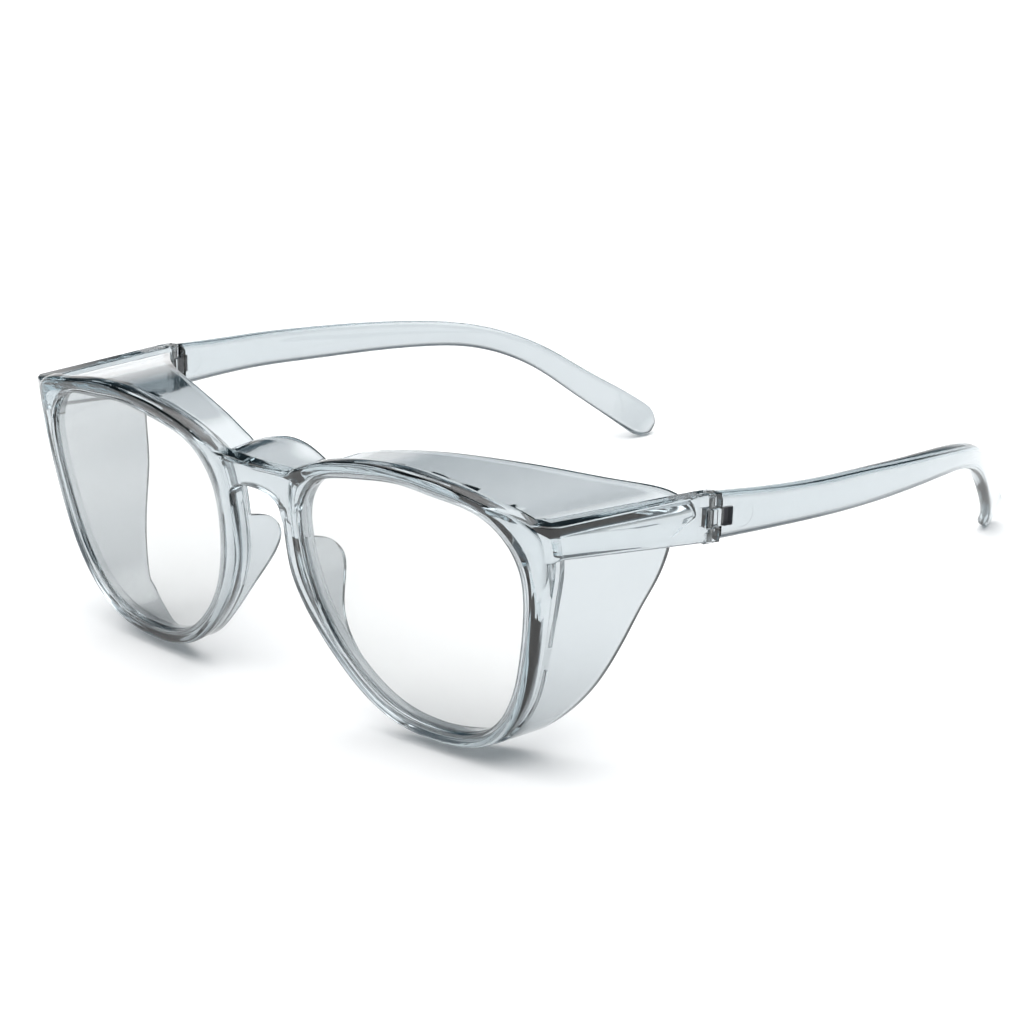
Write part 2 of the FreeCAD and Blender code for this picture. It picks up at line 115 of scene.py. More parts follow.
# Channel along the rim's face: share of the way across it, and share of the channel's depth.
VALLEY_SECTION = [(0.12, 0.0), (0.22, 0.45), (0.32, 0.9), (0.38, 1.0), (0.44, 0.9), (0.56, 0.4),
                  (0.7, 0.0), (0.85, 0.0)]

# End piece and arm: outer point, inner point (x, y), bottom and top (z) of each cross-section.
ARM = [
    ((66.3, 4.7), (66.5, 8.0), 14.5, 19.8),
    ((68.6, 5.1), (67.8, 8.7), 12.6, 19.9),
    ((70.9, 6.05), (68.0, 9.2), 12.7, 19.75),
    ((72.3, 7.5), (68.1, 9.6), 13.3, 19.6),
]
ARM_ROUNDING = (0.9, 0.35)              # radius of the arm's lower outer edge and of its other edges

# Bridge: lower line (the keyhole above the nose) and upper line (x, z), and the small shield behind
# it: its front and rear lines (x, y, z).
KEYHOLE = [(0, 13.6), (3.0, 13.3), (5.5, 12.3), (6.9, 10.8), (7.2, 8.4), (8.6, 6.6)]
BRIDGE_TOP = [(0, 18.4), (4.0, 18.42), (7.5, 18.5), (9.4, 18.55), (11.5, 18.8)]
BRIDGE_SHIELD_FRONT = [(0, 2.0, 18.0), (5, 2.0, 18.15), (9.3, 2.0, 18.2)]
BRIDGE_SHIELD_REAR = [(0, 11.8, 19.65), (5, 11.5, 19.05), (9.3, 10.8, 17.85)]

# Temple: centre of each cross-section, its height, its thickness and its outward twist in degrees.
TEMPLE = [
    ((76.0, 54.0, 7.35), 7.7, 3.5, 0),
    ((76.8, 66.0, 5.0), 7.2, 3.4, 0),
    ((76.2, 77.0, 2.75), 7.0, 3.3, 0),
    ((75.0, 88.0, 0.5), 6.6, 3.2, 2),
    ((73.3, 98.0, -1.6), 6.1, 3.2, 4),
    ((71.1, 107.0, -3.7), 5.6, 3.2, 6),
    ((68.1, 116.0, -6.4), 5.1, 3.2, 7),
    ((64.3, 124.2, -10.4), 5.0, 3.0, 5),
    ((60.4, 131.0, -15.6), 5.3, 2.7, 2),
    ((56.6, 136.9, -21.8), 5.9, 2.5, 2),
    ((52.6, 142.9, -28.0), 6.8, 2.4, 14),
    ((49.4, 147.0, -32.6), 7.4, 2.4, 32),
]
TIP_ROUND = 4.2


def hinge_matrix():
    """From the hinge's own frame (z along the pin, y along the temple) to the drawn glasses."""
    tilt = Matrix.Rotation(math.radians(-HINGE_TILT), 4, "X")
    splay = Matrix.Rotation(math.radians(-HINGE_SPLAY), 4, "Z")
    return Matrix.Translation(HINGE_POINT) @ splay @ tilt


def stand_matrix():
    """From the drawn glasses, in millimetres, to the table, in metres; the left hinge gives the lift."""
    pitch = Matrix.Rotation(math.radians(REST_PITCH), 4, "X")
    hinge = Vector(JOINTS["temple_left_fold"]["pos_m"])
    lift = hinge - pitch @ (HINGE_POINT * MM)
    return Matrix.Translation(lift) @ pitch @ Matrix.Scale(MM, 4)


HINGE = hinge_matrix()
STAND = stand_matrix()
MIRROR = Matrix.Scale(-1, 4, (1, 0, 0))


# ---- sizes and colours that a user would change -------------------------------------------------
class GlassesFrontSize(bpy.types.PropertyGroup):
    rim_depth: FloatProperty(name="Rim depth", description="Rim, front to back", default=0.0046,
                             unit="LENGTH")
    shield_wall: FloatProperty(name="Shield wall", description="Wall thickness", default=0.0017,
                               unit="LENGTH")
    shield_step: FloatProperty(
        name="Shield step", description="How far the rim's bead stands proud of the shields",
        default=0.0004, unit="LENGTH")
    bead: FloatProperty(name="Bead", description="Width of the bead's side", default=0.0026, unit="LENGTH")
    valley: FloatProperty(name="Valley", description="Depth of the channel along the rim's face",
                          default=0.0002, unit="LENGTH")
    edge_round: FloatProperty(
        name="Edge rounding", description="Radius of the rim's outer front edge", default=0.0009,
        unit="LENGTH")
    bridge_depth: FloatProperty(name="Bridge depth", description="Bridge, front to back", default=0.0034,
                                unit="LENGTH")
    stations: IntProperty(name="Stations", description="Cross-sections around one rim", default=320, min=80)


class GlassesLensSize(bpy.types.PropertyGroup):
    thickness: FloatProperty(name="Thickness", description="Lens thickness", default=0.002, unit="LENGTH")
    bite: FloatProperty(name="Bite", description="How far the edge reaches into the rim", default=0.0009,
                        unit="LENGTH")
    setback: FloatProperty(name="Setback", description="Lens face behind the rim's face", default=0.0009,
                           unit="LENGTH")
    clearance: FloatProperty(name="Clearance", description="Air gap in the groove", default=0.00006,
                             unit="LENGTH")


class GlassesHingeSize(bpy.types.PropertyGroup):
    screw_radius: FloatProperty(name="Screw radius", description="Shank radius", default=0.0006,
                                unit="LENGTH")
    bore_radius: FloatProperty(name="Bore radius", description="Knuckle bore", default=0.00065, unit="LENGTH")
    head_radius: FloatProperty(name="Head radius", description="Screw head", default=0.00105, unit="LENGTH")
    head_height: FloatProperty(name="Head height", description="Screw head", default=0.0008, unit="LENGTH")
    nut_flats: FloatProperty(name="Nut across flats", description="Nut size", default=0.0019, unit="LENGTH")
    nut_height: FloatProperty(name="Nut height", description="Nut size", default=0.0014, unit="LENGTH")


class GlassesLook(bpy.types.PropertyGroup):
    plastic_tint: FloatVectorProperty(
        name="Plastic tint", description="Colour that thick clear plastic takes on", subtype="COLOR",
        default=(0.6, 0.72, 0.76), min=0, max=1)
    plastic_density: FloatProperty(
        name="Plastic density", description="How quickly the plastic darkens with depth, per metre",
        default=70.0)
    plastic_skin: FloatVectorProperty(
        name="Plastic skin", description="Tint of each wall, whatever its thickness", subtype="COLOR",
        default=(0.53, 0.556, 0.572), min=0, max=1)
    lens_skin: FloatVectorProperty(
        name="Lens coating", description="Tint of the lens coating", subtype="COLOR",
        default=(0.8, 0.8, 0.8), min=0, max=1)
    lens_tint: FloatVectorProperty(
        name="Lens tint", description="Colour of the lens", subtype="COLOR", default=(0.6, 0.64, 0.63),
        min=0, max=1)
    lens_density: FloatProperty(name="Lens density", description="Darkening per metre", default=90.0)
    refraction: FloatProperty(name="Refraction", description="Index of refraction", default=1.585)
    steel: FloatVectorProperty(
        name="Steel", description="Screw and nut colour", subtype="COLOR", default=(0.62, 0.61, 0.59),
        min=0, max=1)


class GlassesStageLook(bpy.types.PropertyGroup):
    floor: FloatVectorProperty(name="Floor", description="Floor colour", subtype="COLOR",
                               default=(0.93, 0.93, 0.93), min=0, max=1)
    sky_strength: FloatProperty(name="Overhead light", description="Brightness overhead", default=2.75)
    floor_radius: FloatProperty(name="Floor radius", description="Floor size", default=4.0, unit="LENGTH")


# ---- curves -------------------------------------------------------------------------------------
def spline(knots, values, closed=False):
    """Smooth curve through the values at the knots; on a closed one the last value repeats the first."""
    knots = np.asarray(knots, float)
    values = np.asarray(values, float)
    gaps = np.diff(knots)
    rise = np.diff(values, axis=0) / gaps[:, None]
    count = len(gaps) if closed else len(knots)
    system = np.zeros((count, count))
    target = np.zeros((count, values.shape[1]))
    for i in range(count):
        if not closed and i in (0, count - 1):
            near = 1 if i == 0 else count - 2
            system[i, i] = 2.0
            system[i, near] = 1.0
            target[i] = 3.0 * rise[0 if i == 0 else -1]
            continue
        before = gaps[i - 1]
        after = gaps[i]
        system[i, (i - 1) % count] += 1 / before
        system[i, i] += 2 / before + 2 / after
        system[i, (i + 1) % count] += 1 / after
        target[i] = 3 * (rise[i - 1] / before + rise[i] / after)
    slopes = np.linalg.solve(system, target)
    if closed:
        slopes = np.vstack([slopes, slopes[:1]])

    def value(at):
        at = np.atleast_1d(np.asarray(at, float))
        piece = np.clip(np.searchsorted(knots, at, side="right") - 1, 0, len(gaps) - 1)
        width = gaps[piece][:, None]
        t = (at[:, None] - knots[piece][:, None]) / width
        start = values[piece] * (1 + 2 * t) * (1 - t) ** 2 + slopes[piece] * width * t * (1 - t) ** 2
        end = values[piece + 1] * t * t * (3 - 2 * t) - slopes[piece + 1] * width * t * t * (1 - t)
        return start + end

    return value


def even_points(points, count, closed=False):
    """The points' smooth curve, sampled at even distances along it."""
    points = np.asarray(points, float)
    if closed:
        points = np.vstack([points, points[:1]])
    knots = np.concatenate([[0], np.cumsum(np.linalg.norm(np.diff(points, axis=0), axis=1))])
    curve = spline(knots, points, closed)
    fine = np.linspace(0, knots[-1], 60 * len(points))
    dense = curve(fine)
    run = np.concatenate([[0], np.cumsum(np.linalg.norm(np.diff(dense, axis=0), axis=1))])
    places = np.linspace(0, run[-1], count, endpoint=not closed)
    return curve(np.interp(places, run, fine))


def outward(outline):
    """Unit normals of a clockwise (x, z) outline, pointing away from the eye."""
    along = np.roll(outline, -1, axis=0) - np.roll(outline, 1, axis=0)
    normal = np.column_stack([-along[:, 1], along[:, 0]])
    return normal / np.linalg.norm(normal, axis=1)[:, None]


def reach_by(edge):
    """How far back an edge reaches, as a function of its first coordinate."""
    dense = even_points(edge, 400)
    order = np.argsort(dense[:, 0])
    return lambda at: np.interp(at, dense[order, 0], dense[order, 1])


def smooth_step(value, low, high):
    t = np.clip((value - low) / (high - low), 0, 1)
    return t * t * (3 - 2 * t)


FRONT_CURVE = spline([x for x, _ in FRONT_FACE], [[y] for _, y in FRONT_FACE])


def front_depth(x):
    """Depth of the front face at x."""
    return FRONT_CURVE(np.abs(x))[:, 0]


def wall_slope(flat):
    """How far the shield walls move in x and z for each millimetre towards the back."""
    x, z = flat[:, 0], flat[:, 1]
    nose_share = np.exp(-((x - 8.0) / 7.0) ** 2) / (1.0 + np.exp((z - 8.0) / 2.0))
    arm_share = (x / 70.0) ** 4 / (1.0 + np.exp((3.0 - z) / 2.0))
    return np.column_stack([0.045 * x / 70.0 + 0.08 * nose_share + 0.055 * arm_share, -0.07 - 0.0012 * x])


# ---- meshes -------------------------------------------------------------------------------------
def grid_faces(rings, columns, closed_rings, closed_columns):
    faces = []
    for ring in range(rings if closed_rings else rings - 1):
        below = ring * columns
        above = (ring + 1) % rings * columns
        for column in range(columns if closed_columns else columns - 1):
            after = (column + 1) % columns
            faces.append((below + column, below + after, above + after, above + column))
    return faces


def make_mesh(name, points, faces, matrix=None):
    """A new object from points and faces, with doubles merged and faces turned outwards."""
    mesh = bpy.data.meshes.new(name)
    mesh.from_pydata([tuple(point) for point in points], [], faces)
    work = bmesh.new()
    work.from_mesh(mesh)
    if matrix is not None:
        bmesh.ops.transform(work, matrix=matrix, verts=work.verts)
    bmesh.ops.remove_doubles(work, verts=work.verts, dist=1e-5)
    bmesh.ops.recalc_face_normals(work, faces=work.faces)
    work.to_mesh(mesh)
    work.free()
    piece = bpy.data.objects.new(name, mesh)
    bpy.context.scene.collection.objects.link(piece)
    return piece


def sweep(name, rings, matrix=None):
    """Closed solid from a row of closed rings, each an (n, 3) array, with flat ends."""
    columns = len(rings[0])
    faces = grid_faces(len(rings), columns, False, True)
    faces.append(tuple(range(columns)))
    faces.append(tuple((len(rings) - 1) * columns + i for i in range(columns)))
    return make_mesh(name, np.vstack(rings), faces, matrix)


def evaluated(piece):
    """The piece's mesh with its modifiers applied."""
    bpy.context.view_layer.update()
    depsgraph = bpy.context.evaluated_depsgraph_get()
    mesh = bpy.data.meshes.new_from_object(piece.evaluated_get(depsgraph))
    piece.modifiers.clear()
    piece.data = mesh
    return piece


def bevelled(piece, width, segments=3):
    bevel = piece.modifiers.new("edges", "BEVEL")
    bevel.width = width
    bevel.segments = segments
    bevel.limit_method = "ANGLE"
    bevel.angle_limit = math.radians(25)
    bevel.use_clamp_overlap = True
    return evaluated(piece)


def combine(piece, others, operation):
    """Union with, or difference from, the other closed solids, which are used up but keep their
    materials on the faces they leave behind."""
    for other in others:
        join = piece.modifiers.new("join", "BOOLEAN")
        join.operation = operation
        join.object = other
        join.solver = "MANIFOLD"
        join.material_mode = "TRANSFER"
        evaluated(piece)
        bpy.data.objects.remove(other)
    return piece


def moved(piece, matrix):
    piece.data.transform(matrix)
    if matrix.determinant() < 0:
        piece.data.flip_normals()
    piece.data.update()
    return piece


def twin(piece, name):
    """A mirrored copy for the other side."""
    copy = bpy.data.objects.new(name, piece.data.copy())
    bpy.context.scene.collection.objects.link(copy)
    return moved(copy, MIRROR)


def finish_piece(piece, body, nodes, material, crease=32.0):
    """Stand the piece on the table, fill its empty material slots, smooth it and hand it to its body."""
    moved(piece, STAND)
    slots = piece.data.materials
    if not slots:
        slots.append(material)
    for index, held in enumerate(slots):
        slots[index] = held or material
    piece.data.shade_smooth()
    piece.data.set_sharp_from_angle(angle=math.radians(crease))
    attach(piece, body)
    if nodes:
        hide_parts(*nodes)
    return piece


def prism(name, outline, low, high, round_edge=0.0, matrix=None):
    """A straight solid between two heights, from an (x, y) outline."""
    rings = [[(x, y, z) for x, y in outline] for z in (low, high)]
    piece = sweep(name, [np.array(ring) for ring in rings])
    if round_edge:
        bevelled(piece, round_edge)
    return moved(piece, matrix) if matrix is not None else piece


def block(name, low, high, round_edge=0.0, matrix=None):
    outline = [(low[0], low[1]), (high[0], low[1]), (high[0], high[1]), (low[0], high[1])]
    return prism(name, outline, low[2], high[2], round_edge, matrix)


def turned(name, profile, sides=40, matrix=None):
    """A solid of revolution about z from (radius, z) pairs, from the bottom to the top."""
    rings = []
    for radius, z in profile:
        angles = np.arange(sides) * 2 * math.pi / sides
        rings.append(np.column_stack([radius * np.cos(angles), radius * np.sin(angles), np.full(sides, z)]))
    return sweep(name, rings, matrix)


# ---- geometry nodes -----------------------------------------------------------------------------
def new_tree(name, inputs):
    """A node tree with named inputs. Returns it with its input and output nodes and socket names."""
    tree = bpy.data.node_groups.new(name, "GeometryNodeTree")
    tree.interface.new_socket(name="Geometry", in_out="OUTPUT", socket_type="NodeSocketGeometry")
    sockets = {}
    for label, kind, value in inputs:
        socket = tree.interface.new_socket(name=label, in_out="INPUT", socket_type="NodeSocket" + kind)
        socket.default_value = value
        sockets[label] = socket.identifier
    return tree, tree.nodes.new("NodeGroupInput"), tree.nodes.new("NodeGroupOutput"), sockets


def close_tree(tree, geometry, leave, material):
    realize = tree.nodes.new("GeometryNodeRealizeInstances")
    paint = tree.nodes.new("GeometryNodeSetMaterial")
    paint.inputs["Material"].default_value = material
    tree.links.new(geometry, realize.inputs[0])
    tree.links.new(realize.outputs[0], paint.inputs["Geometry"])
    tree.links.new(paint.outputs[0], leave.inputs[0])


def grow(name, tree, sockets, values):
    """Run a node tree on an empty object and keep the result as a plain mesh."""
    piece = bpy.data.objects.new(name, bpy.data.meshes.new(name))
    bpy.context.scene.collection.objects.link(piece)
    modifier = piece.modifiers.new("grow", "NODES")
    modifier.node_group = tree
    for label, value in values.items():
        modifier[sockets[label]] = value
    return evaluated(piece)


def thread_tree(material):
    """A raised helical thread about z."""
    tree, enter, leave, sockets = new_tree("screw thread", [
        ("Turns", "Float", 8.0), ("Length", "Float", 2.0), ("Radius", "Float", 0.5), ("Ridge", "Float", 0.1)])
    helix = tree.nodes.new("GeometryNodeCurveSpiral")
    helix.inputs["Resolution"].default_value = 24
    ridge = tree.nodes.new("GeometryNodeCurvePrimitiveCircle")
    ridge.inputs["Resolution"].default_value = 6
    skin = tree.nodes.new("GeometryNodeCurveToMesh")
    skin.inputs["Fill Caps"].default_value = True
    tree.links.new(enter.outputs["Turns"], helix.inputs["Rotations"])
    tree.links.new(enter.outputs["Length"], helix.inputs["Height"])
    tree.links.new(enter.outputs["Radius"], helix.inputs["Start Radius"])
    tree.links.new(enter.outputs["Radius"], helix.inputs["End Radius"])
    tree.links.new(enter.outputs["Ridge"], ridge.inputs["Radius"])
    tree.links.new(helix.outputs["Curve"], skin.inputs["Curve"])
    tree.links.new(ridge.outputs["Curve"], skin.inputs["Profile Curve"])
    close_tree(tree, skin.outputs["Mesh"], leave, material)
    return tree, sockets


def diamond_tree(material):
    """A field of small four-sided points in the xy plane."""
    tree, enter, leave, sockets = new_tree("moulded diamonds", [
        ("Length", "Float", 6.0), ("Width", "Float", 2.4), ("Along", "Int", 8), ("Across", "Int", 4),
        ("Size", "Float", 0.4), ("Height", "Float", 0.3)])
    field = tree.nodes.new("GeometryNodeMeshGrid")
    point = tree.nodes.new("GeometryNodeMeshCone")
    point.inputs["Vertices"].default_value = 4
    place = tree.nodes.new("GeometryNodeInstanceOnPoints")
    tree.links.new(enter.outputs["Length"], field.inputs["Size Y"])
    tree.links.new(enter.outputs["Width"], field.inputs["Size X"])
    tree.links.new(enter.outputs["Along"], field.inputs["Vertices Y"])
    tree.links.new(enter.outputs["Across"], field.inputs["Vertices X"])
    tree.links.new(enter.outputs["Size"], point.inputs["Radius Bottom"])
    tree.links.new(enter.outputs["Height"], point.inputs["Depth"])
    tree.links.new(field.outputs["Mesh"], place.inputs["Points"])
    tree.links.new(point.outputs["Mesh"], place.inputs["Instance"])
    close_tree(tree, place.outputs["Instances"], leave, material)
    return tree, sockets


# ---- materials ----------------------------------------------------------------------------------
def new_material(name):
    material = bpy.data.materials.get(name)
    if material:
        return material, None
    material = bpy.data.materials.new(name)
    material.use_nodes = True
    return material, material.node_tree


def surface_noise(tree, scale, detail=2.0):
    """A noise texture on Object coordinates."""
    coordinates = tree.nodes.new("ShaderNodeTexCoord")
    noise = tree.nodes.new("ShaderNodeTexNoise")
    noise.inputs["Scale"].default_value = scale
    noise.inputs["Detail"].default_value = detail
    tree.links.new(coordinates.outputs["Object"], noise.inputs["Vector"])
    return noise


def vary_roughness(tree, shader, noise, low, high):
    spread = tree.nodes.new("ShaderNodeMapRange")
    spread.inputs["To Min"].default_value = low
    spread.inputs["To Max"].default_value = high
    tree.links.new(noise.outputs["Fac"], spread.inputs["Value"])
    tree.links.new(spread.outputs["Result"], shader.inputs["Roughness"])


def add_bump(tree, shader, height, strength, distance):
    bump = tree.nodes.new("ShaderNodeBump")
    bump.inputs["Strength"].default_value = strength
    bump.inputs["Distance"].default_value = distance
    tree.links.new(height, bump.inputs["Height"])
    tree.links.new(bump.outputs["Normal"], shader.inputs["Normal"])


def clear_plastic(name, skin, tint, density, refraction, low, high, wave):
    """Clear moulded plastic: tinted in depth, with flow waves and a faint haze on its skin."""
    material, tree = new_material(name)
    if tree is None:
        return material
    shader = tree.nodes["Principled BSDF"]
    shader.inputs["Base Color"].default_value = (*skin, 1.0)
    shader.inputs["Transmission Weight"].default_value = 1.0
    shader.inputs["IOR"].default_value = refraction
    vary_roughness(tree, shader, surface_noise(tree, 90.0, 3.0), low, high)
    add_bump(tree, shader, surface_noise(tree, 55.0, 1.0).outputs["Fac"], wave, 0.0004)
    depth = tree.nodes.new("ShaderNodeVolumeAbsorption")
    depth.inputs["Color"].default_value = (*tint, 1.0)
    depth.inputs["Density"].default_value = density
    tree.links.new(depth.outputs["Volume"], tree.nodes["Material Output"].inputs["Volume"])
    return material


def frame_plastic():
    look = bpy.context.scene.glasses_look
    return clear_plastic("clear frame plastic", look.plastic_skin, look.plastic_tint, look.plastic_density,
                         look.refraction, 0.01, 0.045, 0.05)


def lens_plastic():
    look = bpy.context.scene.glasses_look
    return clear_plastic("hard-coated lens", look.lens_skin, look.lens_tint, look.lens_density,
                         look.refraction, 0.0, 0.012, 0.01)


def painted_pocket_shade():
    """Painted shade: a dark matt colour on the faces of the temple's pocket, standing in for the shade inside
    the recess.
    """
    material, tree = new_material("pocket painted shade")
    if tree is None:
        return material
    shader = tree.nodes["Principled BSDF"]
    noise = surface_noise(tree, 900.0)
    # painted shade: a near-black colour for the shade inside the pocket
    shader.inputs["Base Color"].default_value = (0.07, 0.075, 0.085, 1.0)
    vary_roughness(tree, shader, noise, 0.3, 0.5)
    add_bump(tree, shader, noise.outputs["Fac"], 0.2, 0.00005)
    return material


def turned_steel():
    """Turned stainless steel with fine tool marks."""
    material, tree = new_material("turned steel")
    if tree is None:
        return material
    shader = tree.nodes["Principled BSDF"]
    shader.inputs["Metallic"].default_value = 1.0
    noise = surface_noise(tree, 4000.0, 4.0)
    tone = tree.nodes.new("ShaderNodeMapRange")
    tone.inputs["To Min"].default_value = 0.8
    tone.inputs["To Max"].default_value = 1.1
    shade = tree.nodes.new("ShaderNodeVectorMath")
    shade.operation = "SCALE"
    shade.inputs[0].default_value = bpy.context.scene.glasses_look.steel
    tree.links.new(noise.outputs["Fac"], tone.inputs["Value"])
    tree.links.new(tone.outputs["Result"], shade.inputs["Scale"])
    tree.links.new(shade.outputs["Vector"], shader.inputs["Base Color"])
    vary_roughness(tree, shader, noise, 0.2, 0.38)
    add_bump(tree, shader, noise.outputs["Fac"], 0.3, 0.00002)
    return material


# ---- the moulded front --------------------------------------------------------------------------
def rear_reach(flat, least):
    """How far back the shield reaches from each point around the rim."""
    brow, lower = reach_by(BROW_EDGE), reach_by(LOWER_EDGE)
    side, nose = reach_by(SIDE_EDGE), reach_by(NOSE_EDGE)
    slope = wall_slope(flat)
    temporal = flat[:, 0] > EYE_MIDDLE[0]
    nose_brow = smooth_step(flat[:, 1], 15.4, 17.2)
    lower_share = smooth_step(-flat[:, 1], 20.0, 25.5)
    reach = np.full(len(flat), 12.0)
    for _ in range(14):
        x = flat[:, 0] + slope[:, 0] * reach
        z = flat[:, 1] + slope[:, 1] * reach
        flank = np.where(temporal, side(z), nose(z))
        wanted = flank + (lower(x) - flank) * lower_share
        brow_share = np.where(temporal, smooth_step(z, 8.2, 11.0), nose_brow)
        wanted = wanted + (brow(x) - wanted) * brow_share
        reach = 0.4 * reach + 0.6 * wanted
    return np.maximum(reach, least)


def eye_shell(size, lens):
    """Rim, lens groove and shields round the left eye, as one ring of cross-sections."""
    rim = even_points(RIM, size.stations, closed=True)
    normal = outward(rim)
    middle = np.array(EYE_MIDDLE)
    opening = even_points(OPENING, 4 * size.stations, closed=True)
    angle_of = lambda points: np.arctan2(points[:, 1] - middle[1], points[:, 0] - middle[0])
    opening_angle = angle_of(opening)
    order = np.argsort(opening_angle)
    inner = np.column_stack([
        np.interp(angle_of(rim), opening_angle[order], opening[order, axis], period=2 * math.pi)
        for axis in (0, 1)])
    across = rim - inner
    face_width = np.linalg.norm(across, axis=1)
    across = across / face_width[:, None]

    front = front_depth(rim[:, 0])
    front_inner = front_depth(inner[:, 0])
    rim_back = front + size.rim_depth / MM
    wall, step = size.shield_wall / MM, size.shield_step / MM
    bead, round_edge = size.bead / MM, size.edge_round / MM
    reach = rear_reach(rim - normal * step, rim_back + 0.6)
    rings = []

    def add(flat, depth):
        rings.append(np.column_stack([flat[:, 0], depth, flat[:, 1]]))

    def wall_point(offset, depth):
        base = rim - normal * offset
        return base + wall_slope(base) * depth[:, None]

    def add_wall(offset, depth):
        add(wall_point(offset, depth), depth)

    # front face, from the lens opening to the rounded outer edge
    add(inner, front_inner + 0.32)
    add(inner + across * 0.09, front_inner + 0.1)
    add(inner + across * 0.32, front_inner)
    # the shallow channel along the face fades out at the end piece
    end_piece = smooth_step(rim[:, 0], 60.0, 66.0) * smooth_step(rim[:, 1], 13.0, 17.0)
    valley = size.valley / MM * (1.0 - end_piece)
    for share, sink in VALLEY_SECTION:
        place = inner + across * (0.32 + share * (face_width - 0.32 - round_edge))[:, None]
        add(place, front_depth(place[:, 0]) + sink * valley)
    for step_angle in range(0, 91, 15):
        turn = math.radians(step_angle)
        place = rim - normal * (round_edge * (1 - math.sin(turn)))
        add(place, front_depth(place[:, 0]) + round_edge * (1 - math.cos(turn)))
    # side of the bead, then the small step onto the shield
    add(rim, front + 0.5 * (bead + round_edge))
    add(rim, front + bead - 0.2)
    add(rim - normal * 0.06, front + bead - 0.06)
    start = front + bead + 0.22
    blend_in = 0.5 * (rim - normal * 0.12 + wall_point(step, start))
    add(blend_in, front + bead + 0.05)
    # shield, out to its rounded rear edge and back along its inner face
    lip = 0.45
    for share in np.linspace(0, 1, 12):
        add_wall(step, start + share * (reach - lip - start))
    for step_angle in (20, 42, 66, 90, 114, 138, 160):
        turn = math.radians(step_angle)
        add_wall(step + 0.5 * wall * (1 - math.cos(turn)), reach - lip + lip * math.sin(turn) ** 0.8)
    for share in np.linspace(0, 1, 12):
        add_wall(step + wall, reach - lip + share * (rim_back + 0.12 - reach + lip))
    # back of the rim, then the groove that holds the lens
    bite = (lens.bite + lens.clearance) / MM
    groove_front = front_inner + (lens.setback - lens.clearance) / MM
    groove_back = front_inner + (lens.setback + lens.thickness + lens.clearance) / MM
    inner_back = front_inner + size.rim_depth / MM
    shoulder = wall_point(step + wall, rim_back)
    add(0.6 * shoulder + 0.4 * (inner + across * 0.3), 0.6 * rim_back + 0.4 * inner_back)
    add(inner + across * 0.3, inner_back)
    add(inner + across * 0.08, inner_back - 0.08)
    add(inner, inner_back - 0.3)
    add(inner, groove_back)
    add(inner + across * bite, groove_back)
    add(inner + across * bite, groove_front)
    add(inner, groove_front)
    faces = grid_faces(len(rings), size.stations, True, True)
    return make_mesh("eye_shell", np.vstack(rings), faces)


def rounded_corners(corners, radii, steps=6):
    """A ring through the corners of a four-sided section, each rounded to its own radius."""
    corners = [Vector(corner) for corner in corners]
    ring = []
    for index, corner in enumerate(corners):
        before = (corners[index - 1] - corner).normalized()
        after = (corners[(index + 1) % 4] - corner).normalized()
        for turn in np.radians(np.linspace(0, 90, steps + 1)):
            shift = before * (1 - math.sin(turn)) + after * (1 - math.cos(turn))
            ring.append(corner + shift * radii[index])
    return np.array([tuple(point) for point in ring])


def arm_solid():
    """End piece and arm, up to the hinge; the lower outer edge has a large rounding."""
    large, small = ARM_ROUNDING
    radii = [large, small, small, small]
    rings = []
    for (outer_x, outer_y), (inner_x, inner_y), bottom, top in ARM:
        corners = [(outer_x, outer_y, bottom), (outer_x, outer_y, top),
                   (inner_x, inner_y, top), (inner_x, inner_y, bottom)]
        rings.append(rounded_corners(corners, radii))
    for back, inset in ((0.2, 0.0), (0.05, 0.06), (0.0, 0.2)):
        outer, inner, half = OUTER_FACE - inset, INNER_FACE - inset, HINGE_HALF - inset
        corners = [HINGE @ Vector((x, -END_FACE - back, z))
                   for x, z in ((outer, -half), (outer, half), (-inner, half), (-inner, -half))]
        rings.append(rounded_corners(corners, radii))
    return sweep("arm", rings)


def relief_wedge(side):
    """Chamfers the inner corner of the arm (side -1) or of the temple (side 1)."""
    corner = Vector((-INNER_FACE, side * END_FACE))
    outline = [
        (corner.x + CORNER_RELIEF, corner.y), (corner.x, corner.y + side * CORNER_RELIEF),
        (corner.x - 1.0, corner.y + side * CORNER_RELIEF), (corner.x - 1.0, corner.y - side),
        (corner.x + CORNER_RELIEF, corner.y - side),
    ]
    return prism("relief", outline, -3 * HINGE_HALF, 3 * HINGE_HALF, matrix=HINGE)


def knuckle(side, low, high, root):
    """A hinge knuckle on the arm (side -1) or on the temple (side 1), in its place."""
    barrel = [(KNUCKLE_RADIUS * math.cos(turn), -side * KNUCKLE_RADIUS * math.sin(turn))
              for turn in np.radians(np.arange(90, 181, 10))]
    outline = [(OUTER_FACE, side * root), (OUTER_FACE, -side * KNUCKLE_RADIUS)] + barrel
    outline.append((-KNUCKLE_RADIUS, side * root))
    return prism("knuckle", outline, low, high, 0.1, HINGE)


def hinge_cutters(size):
    """Screw bore, head recess and nut pocket of the arm's knuckles."""
    bore = size.bore_radius / MM
    head = size.head_radius / MM + 0.04
    base = HINGE_HALF - 0.1 - size.head_height / MM - 0.04
    cone_top = base + 0.7 * size.head_height / MM
    flats = (size.nut_flats / MM / 2 + 0.04) / math.cos(math.pi / 6)
    corners = [(flats * math.cos(k * math.pi / 3), flats * math.sin(k * math.pi / 3)) for k in range(6)]
    profile = [(bore, -2 * HINGE_HALF), (bore, base), (head, cone_top), (head, 2 * HINGE_HALF)]
    nut_top = -HINGE_HALF + 0.2 + size.nut_height / MM
    nut_pocket = prism("nut pocket", corners, -3 * HINGE_HALF, nut_top, matrix=HINGE)
    return [turned("bore", profile, 40, HINGE), nut_pocket]


